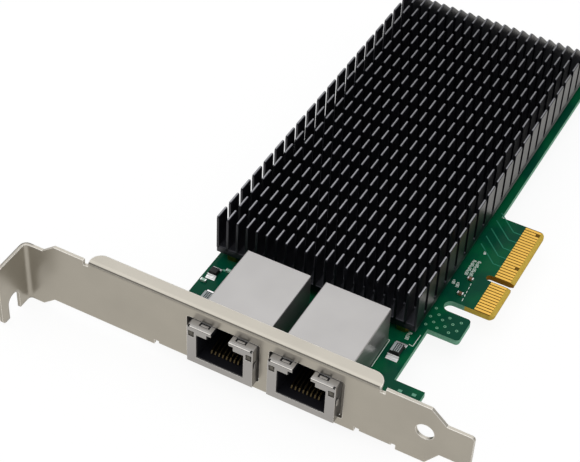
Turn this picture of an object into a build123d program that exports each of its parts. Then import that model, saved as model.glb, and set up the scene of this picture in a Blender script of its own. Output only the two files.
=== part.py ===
from build123d import *
import os

# Dual-port network interface card for a server's expansion slot, in millimetres.
# The card lies component side up. The origin is on the middle plane of the circuit board, at the tips
# of the edge contacts, on the axis of the key notch. +X points into the slot, +Y runs from the bracket
# along the edge connector towards the card's far end, and +Z is the component side.

os.makedirs("parts", exist_ok=True)

# Circuit board and its edge connector
board_thickness = 1.57
board_width = 56.55
board_length = 155.0
board_corner = 0.8
finger_reach = 12.35
finger_margin = 0.65
finger_corner = 1.3
bevel_length = 1.0
bevel_depth = 0.35
key_width = 1.9
key_reach = 7.1
contact_pitch = 1.0
contact_width = 0.7
contact_plating = 0.05
contact_root = 5.3
contact_tip = 1.0
short_contact_tip = 2.1
first_contact = 1.5
near_contacts = 11
far_contacts = 21
short_contacts = (5, 19)
retention_slot = 3.6
retention_length = 8.05
retention_reach = 8.15
retention_corner = 1.0
cutout_length = 18.7
near_tab_length = 14.5
near_tab_reach = 7.95

# Bracket, bent from one sheet
sheet = 0.86
bend_inside = 0.4
tab_bend_inside = 1.0
bracket_gap = 0.51
bracket_length = 120.02
bracket_width = 18.42
bracket_reach = 13.9
bracket_drop = 3.0
tab_shift = 2.8
tab_depth = 11.43
tab_straight = 5.9
tab_run = 3.4
tab_corner = 1.5
tab_slot_width = 4.42
tab_slot_place = 6.35
tab_slot_depth = 6.6
flange_length = 77.6
flange_depth = 4.07
flange_inset = 19.1
flange_corner = 3.0
relief_width = 1.3
relief_depth = 1.5
tongue_width = 10.19
tongue_drop = 3.7
tongue_length = 6.7
tongue_corner = 1.0
shoulder_run = 4.1
bracket_hole = 4.6
bracket_hole_inset = 11.65
bracket_hole_drop = 8.2
ear_width = 8.0
ear_length = 12.5
ear_tip_gap = 1.2
ear_corner = 2.0
ear_joggle_start = 1.6
ear_hole_place = 8.0

# Screws and posts: the small repeated fasteners and the bores they hide have few sides
fastener_sides = 16
bracket_screw = 2.9
bracket_screw_head = 5.4
bracket_screw_head_height = 1.9
bracket_screw_length = 2.9
sink_screw = 2.4
sink_screw_head = 4.4
sink_screw_head_height = 1.4
thread_clearance = 0.05
hole_clearance = 0.15
post_across = 4.0
post_inset = 4.0
post_setback = 2.7
sink_screw_bite = 1.8

# Jacks
jack_width = 17.6
jack_height = 11.0
jack_length = 28.7
jack_protrusion = 2.4
jack_pitch = 21.45
jack_pair_shift = 1.975
jack_foot_drop = 0.3
shell_sheet = 0.25
shell_corner = 0.4
port_pitch = 22.0
port_pair_shift = 0.2
port_width = 19.5
port_roof_clearance = 0.15
port_floor_clearance = 0.25
port_corner = 0.6
plug_width = 12.3
plug_height = 7.3
plug_floor = 1.15
plug_depth = 13.5
step_width = 6.8
step_height = 1.3
latch_width = 4.8
latch_depth = 5.2
face_margin = 0.2
light_width = 1.6
light_height = 1.9
light_length = 9.0
light_inset = 0.05
light_drop = 1.35
spring_slot_width = 2.9
spring_slot_length = 1.3
spring_slot_place = 4.85
spring_slot_setback = 1.1
spring_reach = 0.4
spring_length = 2.3
spring_height = 2.0
spring_place = 5.4
jack_contact_count = 8
jack_contact_pitch = 1.02
jack_contact_width = 0.36
jack_contact_thickness = 0.28
jack_contact_start = 2.6
jack_contact_rise = 1.9
jack_contact_end = 10.5
jack_contact_bend = 0.42
shell_tab_width = 1.6
shell_tab_drop = 1.2
shell_tab_places = (8.5, 19.5)
pin_rows = 2
pins_per_row = 6
pin_pitch = 2.04
pin_row_pitch = 2.54
pin_setback = 17.0
pin_side = 0.6
pin_drop = 1.4
solder_across = 1.5
solder_height = 0.5

# Heatsink
fin_columns = 21
fin_rows = 19
column_pitch = 2.73
row_pitch = 5.9
fin_thickness = 0.6
fin_length = 4.3
fin_height = 9.95
base_thickness = 2.1
sink_side_gap = 1.47
sink_jack_gap = 3.72
sink_slope_run = 10.9
under_sink = 2.15

# Controller under the heatsink
chip_side = 25.0
chip_height = 0.9
lid_corner = 0.6
lid_side = 19.0
lid_height = 0.75
chip_place_x = 27.0
chip_place_y = 12.0
pad_side = 21.0

# Diodes and ceramic parts on the component side
surge_diode_width = 3.1
surge_diode_length = 4.4
surge_diode_height = 2.2
supply_diode_width = 2.6
supply_diode_length = 2.9
supply_diode_height = 1.8
diode_draft = 6.0
diode_stand = 0.15
lead_width_share = 0.68
lead_sheet = 0.3
lead_foot = 0.95
right_surge_setback = 5.6
left_surge_setback = 13.9
supply_diode_margin = 1.05
supply_diode_setback = 4.9
outer_capacitor_inset = 1.4
outer_capacitor_setback = 9.0
inner_capacitor_inset = 5.3
inner_capacitor_setback = 3.1
edge_capacitor_gap = 4.9
edge_capacitor_step = 0.15
edge_capacitor_start = 1.6
edge_capacitor_pitch = 5.95
ceramic_length = 1.6
ceramic_width = 0.8
ceramic_height = 0.7
ceramic_end = 0.35
ceramic_end_excess = 0.04

# Power parts, memory and crystal under the heatsink
inductor_side = 6.6
inductor_height = 2.0
inductor_corner = 0.8
inductor_count = 4
inductor_pitch = 11.0
regulator_side = 5.0
regulator_height = 0.9
flash_length = 5.2
flash_width = 5.3
flash_height = 1.75
flash_lead_pitch = 1.27
flash_lead_width = 0.45
flash_lead_reach = 1.6
flash_lead_overlap = 0.3
flash_leads_per_side = 4
flash_lead_sheet = 0.22
crystal_length = 5.0
crystal_width = 3.2
crystal_height = 1.1
flash_chip_gap = 12.5
crystal_chip_gap = 6.0
power_setback = 16.0
decoupling_pitch = 3.4
decoupling_rows = 5
decoupling_columns = 6

# Places worked out from the sizes
board_top = board_thickness / 2
board_bottom = -board_thickness / 2
board_right = -finger_reach
board_left = board_right - board_width
finger_near = -(first_contact + (near_contacts - 1) * contact_pitch + finger_margin)
finger_far = first_contact + (far_contacts - 1) * contact_pitch + finger_margin
retention_far = finger_near - retention_slot
retention_near = retention_far - retention_length
cutout_near = retention_near - cutout_length
board_near = cutout_near - near_tab_length
board_far = board_near + board_length

bracket_inner = board_near - bracket_gap
bracket_outer = bracket_inner - sheet
bracket_bottom = -bracket_drop
bracket_top = bracket_bottom + bracket_width
bracket_right = bracket_reach
bracket_left = bracket_right - bracket_length
tab_bottom = bracket_bottom - tab_shift
tab_top = tab_bottom + bracket_width
bend_outside = sheet + bend_inside
flange_left = bracket_left + flange_inset
flange_right = flange_left + flange_length
tongue_left = bracket_right - tongue_length
tongue_top = bracket_top - tongue_drop
tongue_bottom = tongue_top - tongue_width
shoulder_left = tongue_left - shoulder_run
ear_rise = board_bottom - sheet - bracket_bottom
ear_end = bracket_inner + ear_length
ear_hole_y = bracket_inner + ear_hole_place

jack_middle = (board_left + board_right) / 2 + jack_pair_shift
jack_centres = {
    "left": jack_middle - jack_pitch / 2,
    "right": jack_middle + jack_pitch / 2,
}
left_strip_middle = (board_left + jack_centres["left"] - jack_width / 2) / 2
right_strip_middle = (board_right + jack_centres["right"] + jack_width / 2) / 2
ear_centres = (
    left_strip_middle,
    board_right + near_tab_reach - ear_tip_gap - ear_width / 2,
)
ear_hole_places = [(x, ear_hole_y) for x in ear_centres]
jack_front = bracket_outer - jack_protrusion
jack_rear = jack_front + jack_length
jack_top = board_top + jack_height
jack_foot = -jack_foot_drop
port_bottom = jack_foot - port_floor_clearance
port_top = jack_top + port_roof_clearance
port_middle = jack_middle - port_pair_shift
plug_bottom = board_top + plug_floor
plug_top = plug_bottom + plug_height
step_top = plug_top + step_height
plug_front = jack_front + shell_sheet
wire_front = plug_front + jack_contact_start
wire_tip = plug_front + jack_contact_end
wire_top = plug_bottom + 2 * jack_contact_bend + jack_contact_thickness + jack_contact_rise
light_centre_x = jack_width / 2 - shell_sheet - light_inset - light_width / 2
light_top = jack_top - shell_sheet - light_drop

sink_right = board_right - sink_side_gap
sink_width = (fin_columns - 1) * column_pitch + fin_thickness
sink_left = sink_right - sink_width
sink_middle = (sink_left + sink_right) / 2
sink_front = jack_rear + sink_jack_gap
sink_bottom = board_top + under_sink
base_top = sink_bottom + base_thickness
fin_top = base_top + fin_height
last_row = sink_front + (fin_rows - 1) * row_pitch
slope_start = last_row + fin_length
sink_far = slope_start + sink_slope_run
cross_cut = row_pitch - fin_length
post_places = [
    (x, y)
    for x in (sink_left + post_inset, sink_right - post_inset)
    for y in (sink_front + post_setback, slope_start)
]
chip_centre = (sink_right - chip_place_x, chip_place_y)
surge_diode_places = [
    (right_strip_middle, sink_front - right_surge_setback),
    (left_strip_middle, sink_front - left_surge_setback),
]
supply_diode_places = [
    (board_left + supply_diode_margin + supply_diode_width / 2, sink_front - supply_diode_setback)
]
edge_capacitor_places = [
    (-contact_root - edge_capacitor_gap, -first_contact - edge_capacitor_start),
    (
        -contact_root - edge_capacitor_gap - edge_capacitor_step,
        -first_contact - edge_capacitor_start - edge_capacitor_pitch,
    ),
]
chip_capacitor_places = [
    (board_left + outer_capacitor_inset, sink_front - outer_capacitor_setback),
    (board_left + inner_capacitor_inset, sink_front - inner_capacitor_setback),
]
power_y = slope_start - power_setback
inductor_places = [
    (sink_middle + (number - (inductor_count - 1) / 2) * inductor_pitch, power_y)
    for number in range(inductor_count)
]
regulator_places = [(x, y - inductor_pitch) for x, y in inductor_places]

# Circuit board: a rectangle with the finger tab, the retention tab and the tab behind the bracket
with BuildPart() as circuit_board:
    with BuildSketch(Plane.XY.offset(board_bottom)):
        with Locations((board_left, board_near)):
            Rectangle(board_width, board_length, align=(Align.MIN, Align.MIN))
        with Locations((board_right, board_near)):
            Rectangle(near_tab_reach, near_tab_length, align=(Align.MIN, Align.MIN))
        with Locations((board_right, retention_near)):
            Rectangle(retention_reach, retention_length, align=(Align.MIN, Align.MIN))
        with Locations((board_right, finger_near)):
            Rectangle(finger_reach, finger_far - finger_near, align=(Align.MIN, Align.MIN))
        with Locations((board_right, retention_far)):
            Rectangle(retention_slot / 2, retention_slot, align=(Align.MIN, Align.MIN))
        with Locations((board_right + retention_slot / 2, retention_far + retention_slot / 2)):
            Circle(retention_slot / 2, mode=Mode.SUBTRACT)
        with Locations(((key_width - key_reach) / 2, 0)):
            SlotOverall(key_reach + key_width, key_width, mode=Mode.SUBTRACT)
    extrude(amount=board_thickness)
    upright = circuit_board.edges().filter_by(Axis.Z)
    fillet(
        [
            e
            for e in upright
            if abs(e.center().X) < 0.01 and abs(e.center().Y) > key_width
        ],
        radius=finger_corner,
    )
    upright = circuit_board.edges().filter_by(Axis.Z)
    fillet(
        [
            e
            for e in upright
            if abs(e.center().X - board_right - retention_reach) < 0.01
            and e.center().Y > cutout_near
        ],
        radius=retention_corner,
    )
    upright = circuit_board.edges().filter_by(Axis.Z)
    fillet(upright.group_by(Axis.X)[0], radius=board_corner)
    # Bevels along the tips of the edge contacts
    with BuildSketch(Plane.XZ.offset(-finger_near)):
        for side in (1, -1):
            with BuildLine():
                Polyline(
                    (-bevel_length, side * board_top),
                    (bevel_length, side * board_top),
                    (bevel_length, side * (board_top - 2 * bevel_depth)),
                    close=True,
                )
            make_face()
    extrude(amount=finger_near - finger_far, mode=Mode.SUBTRACT)
    with BuildSketch(Plane.XY.offset(board_bottom)):
        with Locations(*ear_hole_places):
            Circle(bracket_screw / 2 + hole_clearance)
        with Locations(*post_places):
            Circle(sink_screw / 2 + hole_clearance)
        for jack_x in jack_centres.values():
            for place in shell_tab_places:
                for side in (1, -1):
                    tab_x = jack_x + side * (jack_width - shell_sheet) / 2
                    with Locations((tab_x, jack_front + place)):
                        Rectangle(
                            shell_sheet + 2 * hole_clearance,
                            shell_tab_width + 2 * hole_clearance,
                        )
    extrude(amount=board_thickness, mode=Mode.SUBTRACT)
circuit_board.part.label = "circuit_board"
export_step(circuit_board.part, "parts/circuit_board.step")

# Edge contacts: two full rows of plated strips, with the two short presence-detect strips
contact_places = []
for number in range(near_contacts):
    contact_places.append((-first_contact - number * contact_pitch, contact_tip))
for number in range(far_contacts):
    tip = short_contact_tip if number in short_contacts else contact_tip
    contact_places.append((first_contact + number * contact_pitch, tip))
for side_name, start in (("component", board_top), ("solder", board_bottom - contact_plating)):
    with BuildPart() as edge_contacts:
        with BuildSketch(Plane.XY.offset(start)):
            for contact_y, tip in contact_places:
                with Locations((-contact_root, contact_y)):
                    Rectangle(contact_root - tip, contact_width, align=(Align.MIN, Align.CENTER))
        extrude(amount=contact_plating)
    edge_contacts.part.label = "edge_contacts_" + side_name + "_side"
    export_step(edge_contacts.part, "parts/edge_contacts_" + side_name + "_side.step")

# Bracket: plate, folded mounting tab, folded flange and two ears, all from one sheet
with BuildPart() as bracket:
    with BuildSketch(Plane.XZ.offset(-bracket_outer)):
        with BuildLine():
            Polyline(
                (bracket_left, tab_top),
                (bracket_left + tab_straight, tab_top),
                (bracket_left + tab_straight + tab_run, bracket_top),
                (shoulder_left, bracket_top),
                (tongue_left, tongue_top),
                (bracket_right, tongue_top),
                (bracket_right, tongue_bottom),
                (tongue_left - sheet, tongue_bottom),
                (shoulder_left, bracket_bottom),
                (bracket_left + tab_straight + tab_run - sheet, bracket_bottom),
                (bracket_left + tab_straight - sheet, tab_bottom),
                (bracket_left, tab_bottom),
                close=True,
            )
        make_face()
    extrude(amount=-sheet)
    tongue_edges = bracket.edges().filter_by(Axis.Y).group_by(Axis.X)[-1]
    fillet(tongue_edges, radius=tongue_corner)
    # Mounting tab, folded away from the board
    with BuildSketch(Plane.YZ.offset(bracket_left)):
        with Locations((bracket_inner, tab_bottom)):
            Rectangle(tab_depth + sheet, bracket_width, align=(Align.MAX, Align.MIN))
        with Locations((bracket_outer - tab_slot_place, tab_bottom)):
            with Locations((0, tab_slot_depth / 2 - tab_slot_width)):
                SlotOverall(
                    tab_slot_depth + 2 * tab_slot_width,
                    tab_slot_width,
                    rotation=90,
                    mode=Mode.SUBTRACT,
                )
    extrude(amount=sheet)
    outer_tab = bracket.edges().filter_by(Axis.X).group_by(Axis.Y)[0]
    fillet(outer_tab, radius=tab_corner)
    # Flange along the top edge, folded over the board
    with BuildSketch(Plane.XY.offset(bracket_top)) as flange:
        with Locations((flange_left, bracket_outer)):
            Rectangle(flange_length, flange_depth, align=(Align.MIN, Align.MIN))
        fillet(flange.vertices().group_by(Axis.Y)[-1], radius=flange_corner)
    extrude(amount=-sheet)
    # Ears under the board, with a joggle up to the solder side
    for ear_x in ear_centres:
        with BuildSketch(Plane.YZ.offset(ear_x - ear_width / 2)):
            with BuildLine():
                Polyline(
                    (bracket_outer, bracket_bottom),
                    (bracket_inner + ear_joggle_start, bracket_bottom),
                    (bracket_inner + ear_joggle_start + ear_rise, board_bottom - sheet),
                    (ear_end, board_bottom - sheet),
                    (ear_end, board_bottom),
                    (bracket_inner + ear_joggle_start + ear_rise - sheet / 2, board_bottom),
                    (bracket_inner + ear_joggle_start - sheet / 2, bracket_bottom + sheet),
                    (bracket_outer, bracket_bottom + sheet),
                    close=True,
                )
            make_face()
        extrude(amount=ear_width)
    ear_ends = bracket.edges().filter_by(Axis.Z).group_by(Axis.Y)[-1]
    fillet(ear_ends, radius=ear_corner)
    with BuildSketch(Plane.XY.offset(board_bottom)):
        with Locations(*ear_hole_places):
            Circle(bracket_screw / 2 + thread_clearance)
    extrude(amount=-sheet, mode=Mode.SUBTRACT)
    # Relief cuts beside the flange and the ears, port openings and the plain hole
    with BuildSketch(Plane.XZ.offset(-bracket_outer)):
        for edge_x, edge_z, side in [
            (flange_left, bracket_top - relief_depth, -1),
            (flange_right, bracket_top - relief_depth, 1),
        ]:
            with Locations((edge_x + side * relief_width / 2, edge_z)):
                Rectangle(relief_width, relief_depth, align=(Align.CENTER, Align.MIN))
        for ear_x in ear_centres:
            for side in (1, -1):
                with Locations((ear_x + side * (ear_width + relief_width) / 2, bracket_bottom)):
                    Rectangle(relief_width, relief_depth, align=(Align.CENTER, Align.MIN))
        with Locations((bracket_right - bracket_hole_inset, bracket_top - bracket_hole_drop)):
            Circle(bracket_hole / 2)
    extrude(amount=-sheet, mode=Mode.SUBTRACT)
    with BuildSketch(Plane.XZ.offset(-bracket_outer)) as ports:
        with Locations((port_middle, (port_bottom + port_top) / 2)):
            with GridLocations(port_pitch, 1, 2, 1):
                Rectangle(port_width, port_top - port_bottom)
        fillet(ports.vertices(), radius=port_corner)
    extrude(amount=-sheet, mode=Mode.SUBTRACT)
    # Bends
    along = bracket.edges().filter_by(Axis.X)
    fillet(
        [
            e
            for e in along
            if abs(e.center().Y - bracket_outer) < 0.01
            and (
                (abs(e.center().Z - bracket_top) < 0.01 and abs(e.length - flange_length) < 0.01)
                or (abs(e.center().Z - bracket_bottom) < 0.01 and abs(e.length - ear_width) < 0.01)
            )
        ],
        radius=bend_outside,
    )
    along = bracket.edges().filter_by(Axis.X)
    fillet(
        [
            e
            for e in along
            if abs(e.center().Y - bracket_inner) < 0.01
            and (
                (abs(e.center().Z - bracket_top + sheet) < 0.01 and abs(e.length - flange_length) < 0.01)
                or (
                    abs(e.center().Z - bracket_bottom - sheet) < 0.01
                    and abs(e.length - ear_width) < 0.01
                )
            )
        ],
        radius=bend_inside,
    )
    upright = bracket.edges().filter_by(Axis.Z)
    fillet(
        [
            e
            for e in upright
            if abs(e.center().X - bracket_left) < 0.01 and abs(e.center().Y - bracket_inner) < 0.01
        ],
        radius=sheet + tab_bend_inside,
    )
    upright = bracket.edges().filter_by(Axis.Z)
    fillet(
        [
            e
            for e in upright
            if abs(e.center().X - bracket_left - sheet) < 0.01
            and abs(e.center().Y - bracket_outer) < 0.01
        ],
        radius=tab_bend_inside,
    )
bracket.part.label = "bracket"
export_step(bracket.part, "parts/bracket.step")

# Bracket screws: from the component side through the board into the ears
with BuildPart() as bracket_screws:
    with BuildSketch(Plane.XY.offset(board_top)):
        with Locations(*ear_hole_places):
            RegularPolygon(bracket_screw_head / 2, fastener_sides)
    extrude(amount=bracket_screw_head_height)
    with BuildSketch(Plane.XY.offset(board_top)):
        with Locations(*ear_hole_places):
            RegularPolygon(bracket_screw / 2, fastener_sides)
    extrude(amount=-bracket_screw_length)
bracket_screws.part.label = "bracket_screws"
export_step(bracket_screws.part, "parts/bracket_screws.step")

# Heatsink: extruded comb, cut across into pin fins, with the last row sloped to the base
with BuildPart() as heatsink:
    with BuildSketch(Plane.XZ.offset(-sink_front)):
        with Locations((sink_middle, sink_bottom)):
            Rectangle(sink_width, base_thickness, align=(Align.CENTER, Align.MIN))
        with Locations((sink_middle, base_top)):
            with GridLocations(column_pitch, 1, fin_columns, 1):
                Rectangle(fin_thickness, fin_height, align=(Align.CENTER, Align.MIN))
    extrude(amount=sink_front - sink_far)
    with BuildSketch(Plane.XY.offset(base_top)):
        for row in range(fin_rows - 1):
            with Locations((sink_middle, sink_front + fin_length + row * row_pitch)):
                Rectangle(sink_width, cross_cut, align=(Align.CENTER, Align.MIN))
    extrude(amount=fin_height, mode=Mode.SUBTRACT)
    with BuildSketch(Plane.YZ.offset(sink_left)):
        with BuildLine():
            Polyline(
                (slope_start, fin_top),
                (sink_far, fin_top),
                (sink_far, base_top),
                close=True,
            )
        make_face()
    extrude(amount=sink_width, mode=Mode.SUBTRACT)
    with BuildSketch(Plane.XY.offset(sink_bottom)):
        with Locations(*post_places):
            RegularPolygon(sink_screw / 2 + thread_clearance, fastener_sides)
    extrude(amount=sink_screw_bite + thread_clearance, mode=Mode.SUBTRACT)
heatsink.part.label = "heatsink"
export_step(heatsink.part, "parts/heatsink.step")

# Hexagonal posts that hold the heatsink off the board
with BuildPart() as heatsink_standoffs:
    with BuildSketch(Plane.XY.offset(board_top)):
        with Locations(*post_places):
            RegularPolygon(post_across / 2, 6, major_radius=False)
            RegularPolygon(sink_screw / 2 + hole_clearance, fastener_sides, mode=Mode.SUBTRACT)
    extrude(amount=under_sink)
heatsink_standoffs.part.label = "heatsink_standoffs"
export_step(heatsink_standoffs.part, "parts/heatsink_standoffs.step")

# Heatsink screws: from the solder side through board and posts into the base
with BuildPart() as heatsink_screws:
    with BuildSketch(Plane.XY.offset(board_bottom)):
        with Locations(*post_places):
            RegularPolygon(sink_screw_head / 2, fastener_sides)
    extrude(amount=-sink_screw_head_height)
    with BuildSketch(Plane.XY.offset(board_bottom)):
        with Locations(*post_places):
            RegularPolygon(sink_screw / 2, fastener_sides)
    extrude(amount=board_thickness + under_sink + sink_screw_bite)
heatsink_screws.part.label = "heatsink_screws"
export_step(heatsink_screws.part, "parts/heatsink_screws.step")

# Controller package and the soft pad that carries its heat to the heatsink
with BuildPart() as controller_chip:
    with BuildSketch(Plane.XY.offset(board_top)):
        with Locations(chip_centre):
            Rectangle(chip_side, chip_side)
    extrude(amount=chip_height)
    with BuildSketch(Plane.XY.offset(board_top + chip_height)) as lid_outline:
        with Locations(chip_centre):
            Rectangle(lid_side, lid_side)
        chamfer(lid_outline.vertices(), length=lid_corner)
    extrude(amount=lid_height)
controller_chip.part.label = "controller_chip"
export_step(controller_chip.part, "parts/controller_chip.step")

with BuildPart() as thermal_pad:
    with BuildSketch(Plane.XY.offset(board_top + chip_height + lid_height)):
        with Locations(chip_centre):
            Rectangle(pad_side, pad_side)
    extrude(amount=under_sink - chip_height - lid_height)
thermal_pad.part.label = "thermal_pad"
export_step(thermal_pad.part, "parts/thermal_pad.step")

# Shielded jacks: folded shell, moulded housing, eight sprung wires, light pipes and soldered pins
for side_name, jack_x in jack_centres.items():
    with BuildPart() as jack_shell:
        with BuildSketch(Plane.YZ.offset(jack_x - jack_width / 2)):
            with BuildLine():
                Polyline(
                    (jack_front, jack_foot),
                    (board_near, jack_foot),
                    (board_near, board_top),
                    (jack_rear, board_top),
                    (jack_rear, jack_top),
                    (jack_front, jack_top),
                    close=True,
                )
            make_face()
        extrude(amount=jack_width)
        top_edges = jack_shell.edges().filter_by(Axis.Y).group_by(Axis.Z)[-1]
        fillet(top_edges, radius=shell_corner)
        with BuildSketch(Plane.YZ.offset(jack_x - jack_width / 2 + shell_sheet)):
            with BuildLine():
                Polyline(
                    (plug_front, jack_foot + shell_sheet),
                    (board_near, jack_foot + shell_sheet),
                    (board_near, board_top),
                    (jack_rear - shell_sheet, board_top),
                    (jack_rear - shell_sheet, jack_top - shell_sheet),
                    (plug_front, jack_top - shell_sheet),
                    close=True,
                )
            make_face()
        extrude(amount=jack_width - 2 * shell_sheet, mode=Mode.SUBTRACT)
        # Plug opening, latch notch and light windows in the front wall
        with BuildSketch(Plane.XZ.offset(-jack_front)):
            with Locations((jack_x, plug_bottom - face_margin)):
                Rectangle(
                    plug_width + 2 * face_margin,
                    plug_height + 2 * face_margin,
                    align=(Align.CENTER, Align.MIN),
                )
            with Locations((jack_x, plug_bottom)):
                Rectangle(
                    step_width + 2 * face_margin,
                    plug_height + step_height + face_margin,
                    align=(Align.CENTER, Align.MIN),
                )
            with Locations((jack_x, plug_bottom)):
                Rectangle(latch_width, jack_top - plug_bottom, align=(Align.CENTER, Align.MIN))
            for side in (1, -1):
                with Locations((jack_x + side * light_centre_x, light_top)):
                    Rectangle(light_width, light_height, align=(Align.CENTER, Align.MAX))
        extrude(amount=-shell_sheet, mode=Mode.SUBTRACT)
        # Latch notch and spring slots in the top
        with BuildSketch(Plane.XY.offset(jack_top)):
            with Locations((jack_x, jack_front)):
                Rectangle(latch_width, latch_depth, align=(Align.CENTER, Align.MIN))
            for side in (1, -1):
                with Locations((jack_x + side * spring_slot_place, jack_front + spring_slot_setback)):
                    Rectangle(
                        spring_slot_width,
                        spring_slot_length,
                        align=(Align.CENTER, Align.MIN),
                    )
        extrude(amount=-shell_sheet, mode=Mode.SUBTRACT)
        # Grounding springs that press outward beside the bracket's opening
        with BuildSketch(Plane.XY.offset(spring_place)):
            for side in (1, -1):
                wall = jack_x + side * jack_width / 2
                with BuildLine():
                    Polyline(
                        (wall, jack_front + spring_length),
                        (wall + side * spring_reach, jack_front + spring_length / 2),
                        (wall + side * spring_reach / 2, jack_front + spring_length / 5),
                        (wall + side * (spring_reach - shell_sheet), jack_front + spring_length / 2),
                        (wall, jack_front + spring_length - shell_sheet * 2),
                        close=True,
                    )
                make_face()
        extrude(amount=spring_height)
        # Solder tabs through the board
        with BuildSketch(Plane.XY.offset(board_top)):
            for place in shell_tab_places:
                for side in (1, -1):
                    tab_x = jack_x + side * (jack_width - shell_sheet) / 2
                    with Locations((tab_x, jack_front + place)):
                        Rectangle(shell_sheet, shell_tab_width)
        extrude(amount=-board_thickness - shell_tab_drop)
    jack_shell.part.label = "jack_shell_" + side_name
    export_step(jack_shell.part, "parts/jack_shell_" + side_name + ".step")

    with BuildPart() as jack_housing:
        with BuildSketch(Plane.YZ.offset(jack_x - jack_width / 2 + shell_sheet)):
            with BuildLine():
                Polyline(
                    (plug_front, jack_foot + shell_sheet),
                    (board_near, jack_foot + shell_sheet),
                    (board_near, board_top),
                    (jack_rear - shell_sheet, board_top),
                    (jack_rear - shell_sheet, jack_top - shell_sheet),
                    (plug_front, jack_top - shell_sheet),
                    close=True,
                )
            make_face()
        extrude(amount=jack_width - 2 * shell_sheet)
        with BuildSketch(Plane.XZ.offset(-plug_front)):
            with Locations((jack_x, plug_bottom)):
                Rectangle(plug_width, plug_height, align=(Align.CENTER, Align.MIN))
                Rectangle(step_width, plug_height + step_height, align=(Align.CENTER, Align.MIN))
        extrude(amount=-plug_depth, mode=Mode.SUBTRACT)
        with BuildSketch(Plane.XZ.offset(-plug_front)):
            with Locations((jack_x, plug_bottom)):
                Rectangle(
                    latch_width,
                    jack_top - shell_sheet - plug_bottom,
                    align=(Align.CENTER, Align.MIN),
                )
        extrude(amount=shell_sheet - latch_depth, mode=Mode.SUBTRACT)
        with BuildSketch(Plane.XZ.offset(-plug_front)):
            for side in (1, -1):
                with Locations((jack_x + side * light_centre_x, light_top)):
                    Rectangle(light_width, light_height, align=(Align.CENTER, Align.MAX))
        extrude(amount=-light_length, mode=Mode.SUBTRACT)
    jack_housing.part.label = "jack_housing_" + side_name
    export_step(jack_housing.part, "parts/jack_housing_" + side_name + ".step")

    with BuildPart() as jack_contacts:
        for number in range(jack_contact_count):
            offset_x = (number - (jack_contact_count - 1) / 2) * jack_contact_pitch
            wire_left = jack_x + offset_x - jack_contact_width / 2
            with BuildSketch(Plane.YZ.offset(wire_left)):
                with BuildLine():
                    Polyline(
                        (wire_tip, plug_bottom),
                        (wire_front, plug_bottom),
                        (wire_front - jack_contact_bend, plug_bottom + jack_contact_bend),
                        (wire_front, plug_bottom + 2 * jack_contact_bend + jack_contact_thickness),
                        (wire_tip, wire_top),
                        (wire_tip, wire_top - jack_contact_thickness),
                        (wire_front, plug_bottom + 2 * jack_contact_bend),
                        (wire_front, plug_bottom + jack_contact_thickness),
                        (wire_tip, plug_bottom + jack_contact_thickness),
                        close=True,
                    )
                make_face()
            extrude(amount=jack_contact_width)
    jack_contacts.part.label = "jack_contacts_" + side_name
    export_step(jack_contacts.part, "parts/jack_contacts_" + side_name + ".step")

    with BuildPart() as jack_lights:
        with BuildSketch(Plane.XZ.offset(-plug_front)):
            for side in (1, -1):
                with Locations((jack_x + side * light_centre_x, light_top)):
                    Rectangle(light_width, light_height, align=(Align.CENTER, Align.MAX))
        extrude(amount=-light_length)
    jack_lights.part.label = "jack_lights_" + side_name
    export_step(jack_lights.part, "parts/jack_lights_" + side_name + ".step")

    # Terminal pins with their solder, on the solder side of the board
    pin_places = [
        (
            jack_x + (column - (pins_per_row - 1) / 2) * pin_pitch + (row - 0.5) * pin_pitch / 2,
            jack_front + pin_setback + row * pin_row_pitch,
        )
        for row in range(pin_rows)
        for column in range(pins_per_row)
    ]
    with BuildPart() as jack_pins:
        with BuildSketch(Plane.XY.offset(board_bottom)):
            with Locations(*pin_places):
                RegularPolygon(solder_across / 2, 6)
        extrude(amount=-solder_height)
        with BuildSketch(Plane.XY.offset(board_bottom)):
            with Locations(*pin_places):
                Rectangle(pin_side, pin_side)
        extrude(amount=-pin_drop)
    jack_pins.part.label = "jack_pins_" + side_name
    export_step(jack_pins.part, "parts/jack_pins_" + side_name + ".step")

# Diodes with folded leads: a moulded body with drafted sides on two bent terminals
for node_name, places, width, length, height in (
    (
        "surge_diodes",
        surge_diode_places,
        surge_diode_width,
        surge_diode_length,
        surge_diode_height,
    ),
    (
        "supply_diode",
        supply_diode_places,
        supply_diode_width,
        supply_diode_length,
        supply_diode_height,
    ),
):
    with BuildPart() as diodes:
        with BuildSketch(Plane.XY.offset(board_top + height / 2)):
            with Locations(*places):
                Rectangle(width, length)
        extrude(amount=height / 2, taper=diode_draft)
        with BuildSketch(Plane.XY.offset(board_top + height / 2)):
            with Locations(*places):
                Rectangle(width, length)
        extrude(amount=diode_stand - height / 2, taper=diode_draft)
        lead_width = width * lead_width_share
        for place_x, place_y in places:
            with BuildSketch(Plane.YZ.offset(place_x - lead_width / 2)):
                for side in (1, -1):
                    wall = place_y + side * length / 2
                    with BuildLine():
                        Polyline(
                            (wall - side * lead_sheet, board_top + height / 2),
                            (wall + side * lead_sheet, board_top + height / 2),
                            (wall + side * lead_sheet * 1.5, board_top + lead_sheet),
                            (wall + side * lead_foot, board_top + lead_sheet),
                            (wall + side * lead_foot, board_top),
                            (wall - side * lead_sheet, board_top),
                            close=True,
                        )
                    make_face()
            extrude(amount=lead_width)
    diodes.part.label = node_name
    export_step(diodes.part, "parts/" + node_name + ".step")

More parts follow.
